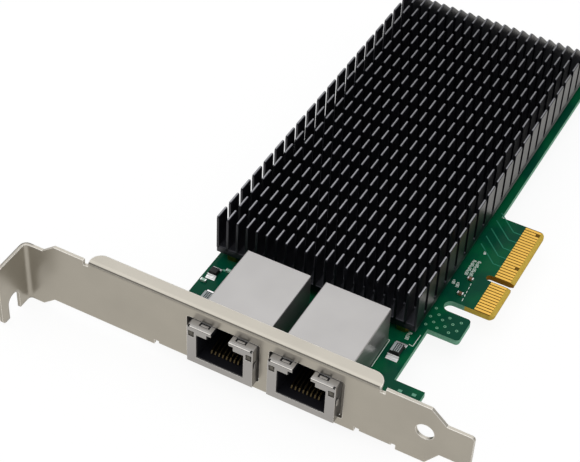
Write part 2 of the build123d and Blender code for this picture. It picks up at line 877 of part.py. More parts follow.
# Ceramic chip parts: a body between two slightly thicker metal ends
for node_name, places, turn in (
    ("edge_capacitors", edge_capacitor_places, 0),
    ("chip_capacitors", chip_capacitor_places, 0),
):
    with BuildPart() as ceramics:
        with BuildSketch(Plane.XY.offset(board_top)):
            with Locations(*places):
                Rectangle(ceramic_length, ceramic_width, rotation=turn)
        extrude(amount=ceramic_height)
        with BuildSketch(Plane.XY.offset(board_top)):
            with Locations(*places):
                with GridLocations(ceramic_length - ceramic_end, 1, 2, 1):
                    Rectangle(ceramic_end, ceramic_width + 2 * ceramic_end_excess)
        extrude(amount=ceramic_height + ceramic_end_excess)
    ceramics.part.label = node_name
    export_step(ceramics.part, "parts/" + node_name + ".step")

# Low parts in the space under the heatsink
with BuildPart() as power_inductors:
    with BuildSketch(Plane.XY.offset(board_top)) as inductor_outline:
        with Locations(*inductor_places):
            Rectangle(inductor_side, inductor_side)
        chamfer(inductor_outline.vertices(), length=inductor_corner)
    extrude(amount=inductor_height)
power_inductors.part.label = "power_inductors"
export_step(power_inductors.part, "parts/power_inductors.step")

with BuildPart() as voltage_regulators:
    with BuildSketch(Plane.XY.offset(board_top)):
        with Locations(*regulator_places):
            Rectangle(regulator_side, regulator_side)
    extrude(amount=regulator_height)
voltage_regulators.part.label = "voltage_regulators"
export_step(voltage_regulators.part, "parts/voltage_regulators.step")

flash_centre = (chip_centre[0], chip_centre[1] + chip_side / 2 + flash_chip_gap)
flash_lead_span = flash_length + flash_lead_reach - 2 * flash_lead_overlap
with BuildPart() as flash_memory:
    with BuildSketch(Plane.XY.offset(board_top + flash_lead_sheet)):
        with Locations(flash_centre):
            Rectangle(flash_length, flash_width)
    extrude(amount=flash_height - flash_lead_sheet)
    with BuildSketch(Plane.XY.offset(board_top)):
        with Locations(flash_centre):
            with GridLocations(flash_lead_span, flash_lead_pitch, 2, flash_leads_per_side):
                Rectangle(flash_lead_reach, flash_lead_width)
    extrude(amount=flash_lead_sheet)
flash_memory.part.label = "flash_memory"
export_step(flash_memory.part, "parts/flash_memory.step")

with BuildPart() as crystal:
    with BuildSketch(Plane.XY.offset(board_top)):
        with Locations((chip_centre[0], chip_centre[1] - chip_side / 2 - crystal_chip_gap)):
            Rectangle(crystal_length, crystal_width)
    extrude(amount=crystal_height)
crystal.part.label = "crystal"
export_step(crystal.part, "parts/crystal.step")

with BuildPart() as decoupling_capacitors:
    with BuildSketch(Plane.XY.offset(board_bottom)):
        with Locations(chip_centre):
            with GridLocations(
                decoupling_pitch,
                decoupling_pitch,
                decoupling_columns,
                decoupling_rows,
            ):
                Rectangle(ceramic_length, ceramic_width)
    extrude(amount=-ceramic_height)
decoupling_capacitors.part.label = "decoupling_capacitors"
export_step(decoupling_capacitors.part, "parts/decoupling_capacitors.step")
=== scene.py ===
import math
import random

import bmesh
import bpy
from bpy.props import FloatProperty, FloatVectorProperty, IntProperty, PointerProperty
from mathutils import Matrix, Vector


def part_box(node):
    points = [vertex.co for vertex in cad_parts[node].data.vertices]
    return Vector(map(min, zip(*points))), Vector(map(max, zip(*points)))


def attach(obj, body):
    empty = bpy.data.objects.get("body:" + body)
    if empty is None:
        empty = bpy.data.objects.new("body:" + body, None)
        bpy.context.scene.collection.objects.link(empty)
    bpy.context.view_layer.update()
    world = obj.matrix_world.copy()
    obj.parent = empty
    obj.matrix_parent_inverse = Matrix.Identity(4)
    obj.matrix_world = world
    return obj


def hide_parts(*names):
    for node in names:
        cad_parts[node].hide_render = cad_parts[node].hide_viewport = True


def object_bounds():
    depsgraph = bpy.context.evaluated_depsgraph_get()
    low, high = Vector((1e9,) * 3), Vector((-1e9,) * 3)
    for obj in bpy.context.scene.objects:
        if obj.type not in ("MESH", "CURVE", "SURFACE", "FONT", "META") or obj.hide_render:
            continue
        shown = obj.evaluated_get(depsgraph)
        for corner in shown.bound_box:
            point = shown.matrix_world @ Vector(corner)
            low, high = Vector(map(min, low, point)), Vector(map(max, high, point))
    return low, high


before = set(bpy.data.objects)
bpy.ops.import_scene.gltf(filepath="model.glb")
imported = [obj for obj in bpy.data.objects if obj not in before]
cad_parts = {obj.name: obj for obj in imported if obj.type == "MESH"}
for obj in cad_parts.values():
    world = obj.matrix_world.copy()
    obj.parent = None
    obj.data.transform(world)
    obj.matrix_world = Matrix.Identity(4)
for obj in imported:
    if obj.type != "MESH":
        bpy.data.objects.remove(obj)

bl_info = {
    "name": "Network Interface Card",
    "version": (1, 0, 0),
    "blender": (4, 5, 0),
    "location": "3D View > Sidebar > Network Card",
    "description": "Finishes a two-port network interface card around its fixed frame",
    "category": "Object",
}

# Lengths are in millimetres unless a setting says otherwise, in the frame of the card: the origin is on
# the middle plane of the board at the contact tips, +X points into the slot, +Y away from the bracket,
# and +Z is the component side.
MM = 0.001
CAD_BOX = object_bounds()


def box_mm(node):
    """Lowest and highest corner of a CAD node."""
    low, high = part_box(node)
    return low / MM, high / MM


BOARD_LOW, BOARD_HIGH = box_mm("circuit_board")
CONTACTS_LOW, CONTACTS_HIGH = box_mm("edge_contacts_component_side")
SINK_LOW, SINK_HIGH = box_mm("heatsink")
SHELLS = {side: box_mm("jack_shell_" + side) for side in ("left", "right")}
BRACKET_GAP = 0.51
BRACKET_INNER = BOARD_LOW.y - BRACKET_GAP
BRACKET_TOP = box_mm("bracket")[1].z


# Colours and materials


def linear(code):
    """The linear colour of an sRGB hex value."""
    values = [int(code[place : place + 2], 16) / 255 for place in (1, 3, 5)]
    return tuple(
        value / 12.92 if value <= 0.04045 else ((value + 0.055) / 1.055) ** 2.4
        for value in values
    )


def tone(colour, share=1.0):
    """A colour as sockets take it, made lighter or darker by a share of itself."""
    return (*(channel * share for channel in colour[:3]), 1.0)


def add(tree, kind, inputs=None, output=0, **settings):
    """Adds a shader node with its settings and links; gives one output, or the node for None."""
    made = tree.nodes.new("ShaderNode" + kind)
    for name, value in settings.items():
        setattr(made, name, value)
    for key, value in (inputs or {}).items():
        if isinstance(value, bpy.types.NodeSocket):
            tree.links.new(value, made.inputs[key])
        else:
            made.inputs[key].default_value = value
    return made if output is None else made.outputs[output]


def new_material(name):
    """A material with an empty tree, the tree, and the piece's own coordinates."""
    made = bpy.data.materials.new(name)
    made.use_nodes = True
    tree = made.node_tree
    tree.nodes.clear()
    return made, tree, add(tree, "TexCoord", output="Object")


def show(tree, kind, inputs):
    """Adds the shader that a surface shows and joins it to the material's output."""
    add(tree, "OutputMaterial", {"Surface": add(tree, kind, inputs)}, None)


def per_mm(size):
    """The scale of a texture whose features are that many millimetres apart."""
    return 1 / (size * MM)


def mottled(tree, place, dark, light, size, detail=2.0):
    """A tint between two colours, and its pattern with features that many millimetres apart."""
    pattern = add(tree, "TexNoise", {"Vector": place, "Scale": per_mm(size), "Detail": detail})
    return add(tree, "MixRGB", {"Fac": pattern, "Color1": dark, "Color2": light}), pattern


def masked_laminate(settings):
    """Glass-epoxy laminate under glossy green solder mask: deep green where the glass shows through,
    lighter over copper, pale green at the routed walls, and bare ochre laminate round the contacts,
    with painted shade as darker brown between the contacts and on the key notch's wall."""
    made, tree, place = new_material("Solder-masked laminate")
    axes = add(tree, "SeparateXYZ", {0: place}, None).outputs
    inner_end, outer_end = CONTACTS_LOW.x * MM, CONTACTS_HIGH.x * MM
    skin = 0.012

    pours = add(tree, "TexNoise", {"Vector": place, "Scale": per_mm(10.0), "Detail": 2.0})
    poured = add(tree, "MapRange", {"Value": pours, "From Min": 0.42, "From Max": 0.58})
    glass, copper = tone(settings.mask_colour), tone(settings.mask_copper_colour)
    mask = add(tree, "MixRGB", {"Fac": poured, "Color1": glass, "Color2": copper})

    ochre, fibre = mottled(
        tree, place, tone(linear("#b08f32")), tone(linear("#d6bb58")), size=0.5
    )
    pale, dusty = tone(linear("#4b8a6d")), tone(linear("#93c3aa"))
    routed = add(tree, "MixRGB", {"Fac": fibre, "Color1": pale, "Color2": dusty})
    tip = add(tree, "Math", {0: axes["X"], 1: outer_end}, operation="GREATER_THAN")
    # Darker brown between the contacts: painted shade in the gaps beside the raised contacts.
    between = tone(linear("#6d5119"))
    bare = add(tree, "MixRGB", {"Fac": tip, "Color1": between, "Color2": ochre})

    middle = (CONTACTS_LOW.y + CONTACTS_HIGH.y) / 2 * MM
    half = (CONTACTS_HIGH.y - CONTACTS_LOW.y) / 2 * MM + settings.contact_margin
    tab = add(tree, "Math", {0: axes["Y"], 1: middle, 2: half}, operation="COMPARE")
    past_contacts = add(tree, "Math", {0: axes["X"], 1: inner_end}, operation="GREATER_THAN")
    past_key = add(
        tree, "Math", {0: axes["X"], 1: inner_end - settings.key_margin}, operation="GREATER_THAN"
    )
    top_bare = add(tree, "Math", {0: tab, 1: past_contacts}, operation="MULTIPLY")
    wall_bare = add(tree, "Math", {0: tab, 1: past_key}, operation="MULTIPLY")
    height = add(tree, "Math", {0: axes["Z"]}, operation="ABSOLUTE")
    wall = add(tree, "Math", {0: height, 1: (BOARD_HIGH.z - skin) * MM}, operation="LESS_THAN")

    face = add(tree, "MixRGB", {"Fac": top_bare, "Color1": mask, "Color2": bare})
    notch = add(tree, "Math", {0: axes["Y"], 1: 0.0, 2: settings.notch_half}, operation="COMPARE")
    # The key notch's wall is darker brown: painted shade in the notch.
    notch_wall_shade = tone(linear("#875f16"))
    cut = add(tree, "MixRGB", {"Fac": notch, "Color1": ochre, "Color2": notch_wall_shade})
    side = add(tree, "MixRGB", {"Fac": wall_bare, "Color1": routed, "Color2": cut})
    colour = add(tree, "MixRGB", {"Fac": wall, "Color1": face, "Color2": side})
    dull = add(tree, "Math", {0: wall, 1: top_bare}, operation="MAXIMUM")
    rough = add(tree, "MapRange", {"Value": dull, "To Min": 0.16, "To Max": 0.6})
    wavy = add(tree, "TexNoise", {"Vector": place, "Scale": per_mm(2.5), "Detail": 1.0})
    relief = add(tree, "Bump", {"Height": wavy, "Distance": 0.02 * MM, "Strength": 0.4})
    show(
        tree,
        "BsdfPrincipled",
        {
            "Base Color": colour,
            "Roughness": rough,
            "IOR": 1.5,
            "Specular IOR Level": 0.05,
            "Normal": relief,
        },
    )
    return made


def masked_copper(name, colour):
    """Copper under the same mask: a little raised, and a lighter green than the laminate."""
    made, tree, place = new_material(name)
    tint, _ = mottled(tree, place, tone(colour, 0.8), tone(colour, 1.2), size=3.0)
    show(
        tree,
        "BsdfPrincipled",
        {"Base Color": tint, "Roughness": 0.22, "IOR": 1.5, "Specular IOR Level": 0.05},
    )
    return made


def screen_ink(name, dark, light):
    """Epoxy screen-printing ink: matt and thin, with slightly ragged cover."""
    made, tree, place = new_material(name)
    tint, _ = mottled(tree, place, tone(linear(dark)), tone(linear(light)), size=0.3, detail=3.0)
    show(tree, "BsdfPrincipled", {"Base Color": tint, "Roughness": 0.7})
    return made


def hard_gold(name, colour):
    """Electroplated hard gold over nickel: warm and satin, finely wiped along the insertion."""
    made, tree, place = new_material(name)
    along = add(tree, "Mapping", {"Vector": place, "Scale": (0.12, 1.0, 1.0)})
    wiped = add(tree, "TexNoise", {"Vector": along, "Scale": per_mm(0.15), "Detail": 2.0})
    satin = add(tree, "MapRange", {"Value": wiped, "To Min": 0.24, "To Max": 0.4})
    tint, _ = mottled(tree, place, tone(colour, 0.88), tone(colour, 1.06), size=1.5, detail=1.0)
    rounded = add(tree, "Bevel", {"Radius": 0.03 * MM}, samples=4)
    show(
        tree,
        "BsdfPrincipled",
        {"Base Color": tint, "Metallic": 1.0, "Roughness": satin, "Normal": rounded},
    )
    return made


def creased(tree, place, tint, crease):
    """Darkens a tint along the fold between the plate and the flange, where it mirrors no light."""
    depth = 0.75
    axes = add(tree, "SeparateXYZ", {0: place}, None).outputs
    part = depth
    for axis, (low, high) in crease.items():
        middle, half = (low + high) / 2 * MM, (high - low) / 2 * MM
        inside = add(tree, "Math", {0: axes[axis], 1: middle, 2: half}, operation="COMPARE")
        part = add(tree, "Math", {0: inside, 1: part}, operation="MULTIPLY")
    shadow = tone(linear("#2a2620"))
    return add(tree, "MixRGB", {"Fac": part, "Color1": tint, "Color2": shadow})


def plated_sheet_steel(name, colour, rough, edge, bend=None, crease=None):
    """Rolled sheet steel with thin plating: satin, with faint rolling lines along the sheet and
    cloudy patches where it was handled, its sheared edges rounded and softer at the tab's bend.
    A near-white line along every sharp edge is partly rubbed metal and partly a painted highlight,
    and where a crease is given the fold is darkened with painted shade."""
    made, tree, place = new_material(name)
    spread, fade, edge_line_reach = 0.03, 0.5, 2 * edge
    edge_line_start, edge_line_full, edge_line_share = 0.985, 0.9, 0.85
    along = add(tree, "Mapping", {"Vector": place, "Scale": (0.02, 0.3, 0.3)})
    rolled = add(tree, "TexNoise", {"Vector": along, "Scale": per_mm(0.5), "Detail": 1.0})
    satin = add(
        tree, "MapRange", {"Value": rolled, "To Min": rough - spread, "To Max": rough + spread}
    )
    tint, _ = mottled(tree, place, tone(colour, 0.9), tone(colour, 1.1), size=11.0)
    if crease:
        tint = creased(tree, place, tint, crease)
    radius = edge * MM
    if bend:
        limit, soft = bend
        radius = add(
            tree,
            "MapRange",
            {
                "Value": add(tree, "SeparateXYZ", {0: place}, "X"),
                "From Min": limit * MM,
                "From Max": (limit + fade) * MM,
                "To Min": soft * MM,
                "To Max": radius,
            },
        )
    rounded = add(tree, "Bevel", {"Radius": radius}, samples=6)
    sharp = add(tree, "Bevel", {"Radius": edge_line_reach * MM}, samples=6)
    flat = add(tree, "NewGeometry", output="Normal")
    turned = add(tree, "VectorMath", {0: sharp, 1: flat}, "Value", operation="DOT_PRODUCT")
    # Along every sharp edge the colour turns near-white: partly rubbed metal, partly a painted
    # highlight.
    rubbed_and_highlit = add(
        tree,
        "MapRange",
        {"Value": turned, "From Min": edge_line_start, "From Max": edge_line_full, "To Max": edge_line_share},
    )
    # Near-white of the rubbed edges and their painted highlight.
    bare = tone(linear("#f4f1ec"))
    bright = add(tree, "MixRGB", {"Fac": rubbed_and_highlit, "Color1": tint, "Color2": bare})
    relief = add(
        tree,
        "Bump",
        {"Height": rolled, "Distance": 0.002 * MM, "Strength": 0.3, "Normal": rounded},
    )
    show(
        tree,
        "BsdfPrincipled",
        {"Base Color": bright, "Metallic": 0.82, "Roughness": satin, "Normal": relief},
    )
    return made


def black_anodised_aluminium(settings):
    """Aluminium extruded, cross-cut and anodised black: a deep, dry black with fine drawing lines
    along the extrusion and a faintly blue sheen."""
    made, tree, place = new_material("Black anodised aluminium")
    along = add(tree, "Mapping", {"Vector": place, "Scale": (1.0, 0.05, 1.0)})
    colour = settings.anodised_colour
    tint, drawn = mottled(tree, along, tone(colour, 0.6), tone(colour, 1.5), size=0.4)
    satin = add(tree, "MapRange", {"Value": drawn, "To Min": 0.28, "To Max": 0.4})
    relief = add(tree, "Bump", {"Height": drawn, "Distance": 0.01 * MM, "Strength": 0.4})
    show(
        tree,
        "BsdfPrincipled",
        {
            "Base Color": tint,
            "Roughness": satin,
            "IOR": 1.5,
            "Specular IOR Level": 0.6,
            "Specular Tint": tone(linear("#eef0ff")),
            "Normal": relief,
        },
    )
    return made


def fin_tip_highlight(settings):
    """The same aluminium at the fin tips and the sawn far end: a thin grey satin line of painted
    highlight where they catch the light, brighter towards the bracket's end as painted light."""
    made, tree, place = new_material("Anodised fin tips with painted highlight")
    colour = settings.tip_highlight_colour
    tint, _ = mottled(tree, place, tone(colour, 0.75), tone(colour, 1.25), size=2.0, detail=3.0)
    # Painted light: brighter towards the bracket's end, dimmer towards the far end.
    highlight_falloff = add(
        tree,
        "MapRange",
        {
            "Value": add(tree, "SeparateXYZ", {0: place}, "Y"),
            "From Min": SINK_LOW.y * MM,
            "From Max": SINK_HIGH.y * MM,
            "To Min": 1.15,
            "To Max": 0.45,
        },
    )
    shade = add(tree, "VectorMath", {0: tint, "Scale": highlight_falloff}, operation="SCALE")
    show(tree, "BsdfPrincipled", {"Base Color": shade, "Metallic": 0.3, "Roughness": 0.42})
    return made


def moulded_plastic(name, dark, light, rough, grain):
    """Moulded resin: dull and even, with a fine grainy skin."""
    made, tree, place = new_material(name)
    tint, grit = mottled(tree, place, tone(linear(dark)), tone(linear(light)), size=grain)
    rounded = add(tree, "Bevel", {"Radius": 0.08 * MM}, samples=4)
    relief = add(
        tree, "Bump", {"Height": grit, "Distance": 0.01 * MM, "Strength": 0.4, "Normal": rounded}
    )
    show(
        tree,
        "BsdfPrincipled",
        {
            "Base Color": tint,
            "Roughness": rough,
            "IOR": 1.5,
            "Specular IOR Level": 0.3,
            "Normal": relief,
        },
    )
    return made


def plain_metal(name, code, rough, grain):
    """Turned, plated or soldered metal: bright, with a fine uneven skin."""
    made, tree, place = new_material(name)
    colour = linear(code)
    tint, skin = mottled(tree, place, tone(colour, 0.86), tone(colour, 1.08), size=grain)
    satin = add(
        tree, "MapRange", {"Value": skin, "To Min": rough - 0.06, "To Max": rough + 0.08}
    )
    rounded = add(tree, "Bevel", {"Radius": 0.06 * MM}, samples=4)
    show(
        tree,
        "BsdfPrincipled",
        {"Base Color": tint, "Metallic": 1.0, "Roughness": satin, "Normal": rounded},
    )
    return made


def light_pipe_resin():
    """Smoky clear polycarbonate, moulded: dim and brownish with no lamp lit behind it."""
    made, tree, place = new_material("Smoky polycarbonate light pipe")
    tint, _ = mottled(tree, place, tone(linear("#3a352f")), tone(linear("#565047")), size=0.8)
    show(
        tree,
        "BsdfPrincipled",
        {
            "Base Color": tint,
            "Roughness": 0.3,
            "IOR": 1.58,
            "Specular IOR Level": 0.3,
            "Transmission Weight": 0.15,
        },
    )
    return made


def ceramic_body(name, dark, light):
    """Fired ceramic: smooth, dense and faintly mottled."""
    made, tree, place = new_material(name)
    tint, _ = mottled(tree, place, tone(linear(dark)), tone(linear(light)), size=0.3)
    show(tree, "BsdfPrincipled", {"Base Color": tint, "Roughness": 0.35})
    return made


# Mesh work


def bevel(mesh, geometry, offset, segments, affect="EDGES"):
    """Rounds edges or the corners of a flat outline."""
    bmesh.ops.bevel(
        mesh,
        geom=geometry,
        offset=offset,
        offset_type="OFFSET",
        segments=segments,
        profile=0.5,
        affect=affect,
        material=-1,
        clamp_overlap=True,
    )


def block(mesh, centre, size, edge=0.0, material=0, turn=0.0, taper=1.0):
    """A block with rounded edges, turned about Z by an angle and drawn in at its top."""
    verts = bmesh.ops.create_cube(mesh, size=1.0)["verts"]
    bmesh.ops.scale(mesh, vec=size, verts=verts)
    upper = [vert for vert in verts if vert.co.z > 0]
    bmesh.ops.scale(mesh, vec=(taper, taper, 1.0), verts=upper)
    bmesh.ops.rotate(
        mesh, cent=(0, 0, 0), matrix=Matrix.Rotation(turn, 3, "Z"), verts=verts
    )
    bmesh.ops.translate(mesh, vec=centre, verts=verts)
    for face in {face for vert in verts for face in vert.link_faces}:
        face.material_index = material
    if edge:
        edges = list({link for vert in verts for link in vert.link_edges})
        bevel(mesh, edges, edge, 2)


def strip(mesh, start, end, width, level, thickness):
    """A thin flat strip between two points of the board."""
    run = Vector(end) - Vector(start)
    middle = (Vector(start) + Vector(end)) / 2
    block(
        mesh,
        (middle.x, middle.y, level + thickness / 2),
        (run.length, width, thickness),
        turn=math.atan2(run.y, run.x),
    )


def lathe(mesh, foot, profile, segments):
    """Turns a profile of radii and heights about the upright axis through a foot point."""
    known = set(mesh.verts)
    line = [mesh.verts.new((foot[0] + radius, foot[1], foot[2] + z)) for radius, z in profile]
    edges = [mesh.edges.new(pair) for pair in zip(line, line[1:])]
    bmesh.ops.spin(
        mesh,
        geom=line + edges,
        cent=foot,
        axis=(0, 0, 1),
        angle=math.tau,
        steps=segments,
        use_merge=True,
    )
    turned = [vert for vert in mesh.verts if vert not in known]
    bmesh.ops.remove_doubles(mesh, verts=turned, dist=1e-4)


def piece(mesh, name, materials, smooth=False, replaces=()):
    """Turns a mesh in millimetres into a piece of the card in its place."""
    bmesh.ops.recalc_face_normals(mesh, faces=mesh.faces)
    bmesh.ops.scale(mesh, vec=(MM, MM, MM), verts=mesh.verts)
    data = bpy.data.meshes.new(name)
    mesh.to_mesh(data)
    mesh.free()
    for material in materials:
        data.materials.append(material)
    made = bpy.data.objects.new(name, data)
    bpy.context.scene.collection.objects.link(made)
    if smooth:
        data.shade_smooth()
        data.set_sharp_from_angle(angle=math.radians(35))
    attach(made, "root")
    if replaces:
        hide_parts(*replaces)


def finish_node(node, material):
    """Gives a CAD node a material in place of its plain one."""
    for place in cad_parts[node].material_slots:
        place.material = material


def islands(node):
    """The boxes of a CAD node's separate bodies, from left to right."""
    mesh = bmesh.new()
    mesh.from_mesh(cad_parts[node].data)
    bmesh.ops.remove_doubles(mesh, verts=mesh.verts, dist=1e-7)
    left, found = set(mesh.verts), []
    while left:
        group, front = set(), [left.pop()]
        while front:
            vert = front.pop()
            group.add(vert)
            for edge in vert.link_edges:
                other = edge.other_vert(vert)
                if other in left:
                    left.discard(other)
                    front.append(other)
        spans = [[vert.co[axis] / MM for vert in group] for axis in range(3)]
        found.append((Vector([min(span) for span in spans]), Vector([max(span) for span in spans])))
    mesh.free()
    return sorted(found, key=lambda pair: (pair[0].x, pair[0].y))


# Settings


class StudioSettings(bpy.types.PropertyGroup):
    """Camera, floor and lamps."""

    azimuth: FloatProperty(
        name="Azimuth",
        description="Turn of the camera about the card, from the bracket's side",
        default=math.radians(26.30),
        subtype="ANGLE",
    )
    elevation: FloatProperty(
        name="Elevation",
        description="Height of the camera above the board's plane",
        default=math.radians(43.66),
        subtype="ANGLE",
    )
    roll: FloatProperty(
        name="Roll",
        description="Tilt of the camera about its line of sight",
        default=math.radians(3.015),
        subtype="ANGLE",
    )
    position: FloatVectorProperty(
        name="Position",
        description="Place of the camera",
        default=(0.07607, -0.28090, 0.28857),
        subtype="TRANSLATION",
    )
    lens: FloatProperty(
        name="Lens", description="Focal length on a 36 mm sensor, in mm", default=100.69
    )
    key_place: FloatVectorProperty(
        name="Key place",
        description="Place of the large soft lamp, from the card's middle",
        default=(-0.10, 0.0, 1.40),
        subtype="TRANSLATION",
    )
    key_energy: FloatProperty(
        name="Key", description="Power of the large soft lamp", default=9.0, unit="POWER"
    )
    fill_place: FloatVectorProperty(
        name="Fill place",
        description="Place of the front lamp, from the card's middle",
        default=(0.55, -0.95, 0.75),
        subtype="TRANSLATION",
    )
    fill_energy: FloatProperty(
        name="Fill", description="Power of the front lamp", default=1.4, unit="POWER"
    )
    lamp_side: FloatProperty(
        name="Lamp size", description="Side of each square lamp", default=2.2, unit="LENGTH"
    )
    ambient: FloatProperty(
        name="Ambient", description="Strength of the even light from all round", default=0.62
    )
    horizon: FloatProperty(
        name="Horizon", description="Strength that metal mirrors near the horizon", default=0.08
    )
    zenith: FloatProperty(
        name="Zenith", description="Strength that metal mirrors higher up", default=1.25
    )


class BoardSettings(bpy.types.PropertyGroup):
    """Solder mask, print and plating of the board."""

    mask_colour: FloatVectorProperty(
        name="Mask",
        description="Solder mask over bare laminate",
        default=linear("#034834"),
        subtype="COLOR",
        min=0,
        max=1,
    )
    mask_copper_colour: FloatVectorProperty(
        name="Mask over copper",
        description="Solder mask over copper",
        default=linear("#065a38"),
        subtype="COLOR",
        min=0,
        max=1,
    )
    gold_colour: FloatVectorProperty(
        name="Gold",
        description="Plating of the edge contacts",
        default=linear("#d6aa50"),
        subtype="COLOR",
        min=0,
        max=1,
    )
    contact_margin: FloatProperty(
        name="Contact margin",
        description="Bare laminate beside the outer contacts",
        default=0.0005,
        unit="LENGTH",
    )
    key_margin: FloatProperty(
        name="Key margin",
        description="How far the bare wall of the key notch runs past the contacts",
        default=0.0024,
        unit="LENGTH",
    )
    # The darker wall of the key notch is painted shade.
    notch_half: FloatProperty(
        name="Notch half",
        description="Reach to each side of the darker wall of the key notch",
        default=0.0011,
        unit="LENGTH",
    )
    track_width: FloatProperty(
        name="Track width", description="Width of the signal tracks", default=0.00034, unit="LENGTH"
    )
    via_radius: FloatProperty(
        name="Via radius", description="Outer radius of a via's ring", default=0.0004, unit="LENGTH"
    )


class BracketSettings(bpy.types.PropertyGroup):
    """Finish of the bracket and size of the screws."""

    steel_colour: FloatVectorProperty(
        name="Steel",
        description="Nickel-plated sheet of the bracket",
        default=linear("#aaa59b"),
        subtype="COLOR",
        min=0,
        max=1,
    )
    bracket_shank: FloatProperty(
        name="Bracket screw", description="Thickness of its shank", default=0.0029, unit="LENGTH"
    )
    sink_shank: FloatProperty(
        name="Heatsink screw", description="Thickness of its shank", default=0.0024, unit="LENGTH"
    )


class HeatsinkSettings(bpy.types.PropertyGroup):
    """Fins and finish of the heatsink."""

    columns: IntProperty(name="Columns", description="Fins across the card", default=21)
    rows: IntProperty(name="Rows", description="Fins along the card", default=19)
    fin_thickness: FloatProperty(
        name="Fin thickness", description="Across the card", default=0.0006, unit="LENGTH"
    )
    fin_length: FloatProperty(
        name="Fin length", description="Along the card", default=0.0043, unit="LENGTH"
    )
    base_thickness: FloatProperty(
        name="Base", description="Thickness under the fins", default=0.0021, unit="LENGTH"
    )
    slope_run: FloatProperty(
        name="Slope", description="Length of the sloped far end", default=0.0109, unit="LENGTH"
    )
    tip_radius: FloatProperty(
        name="Tip radius",
        description="Rounding of a fin's upper corners",
        default=0.0003,
        unit="LENGTH",
    )
    root_radius: FloatProperty(
        name="Root radius",
        description="Rounding of the cross cuts' floor",
        default=0.0006,
        unit="LENGTH",
    )
    anodised_colour: FloatVectorProperty(
        name="Anodised black",
        description="Colour of the anodised faces",
        default=linear("#050508"),
        subtype="COLOR",
        min=0,
        max=1,
    )
    # The fin tips' colour is a painted highlight on the tops and the sloped end.
    tip_highlight_colour: FloatVectorProperty(
        name="Fin tips",
        description="Colour of the rubbed fin tips",
        default=linear("#8b8b90"),
        subtype="COLOR",
        min=0,
        max=1,
    )


class JackSettings(bpy.types.PropertyGroup):
    """Finish and details of the shielded jacks."""

    shell_colour: FloatVectorProperty(
        name="Shell",
        description="Tinned sheet of the shells",
        default=linear("#a3a1a0"),
        subtype="COLOR",
        min=0,
        max=1,
    )
    # The contacts' colour is gold darkened with painted shade, for wires deep inside the jack.
    shaded_wire_colour: FloatVectorProperty(
        name="Contacts",
        description="Plating of the sprung wires",
        default=linear("#5c5038"),
        subtype="COLOR",
        min=0,
        max=1,
    )
    width: FloatProperty(
        name="Width", description="Width of a shell", default=0.0176, unit="LENGTH"
    )
    latch_width: FloatProperty(
        name="Latch notch", description="Width of the latch notch", default=0.0048, unit="LENGTH"
    )
    slot_place: FloatProperty(
        name="Slot place",
        description="Spring slot's place beside the middle",
        default=0.00485,
        unit="LENGTH",
    )
    slot_setback: FloatProperty(
        name="Slot setback",
        description="Spring slot's place behind the front",
        default=0.0011,
        unit="LENGTH",
    )


# Pieces


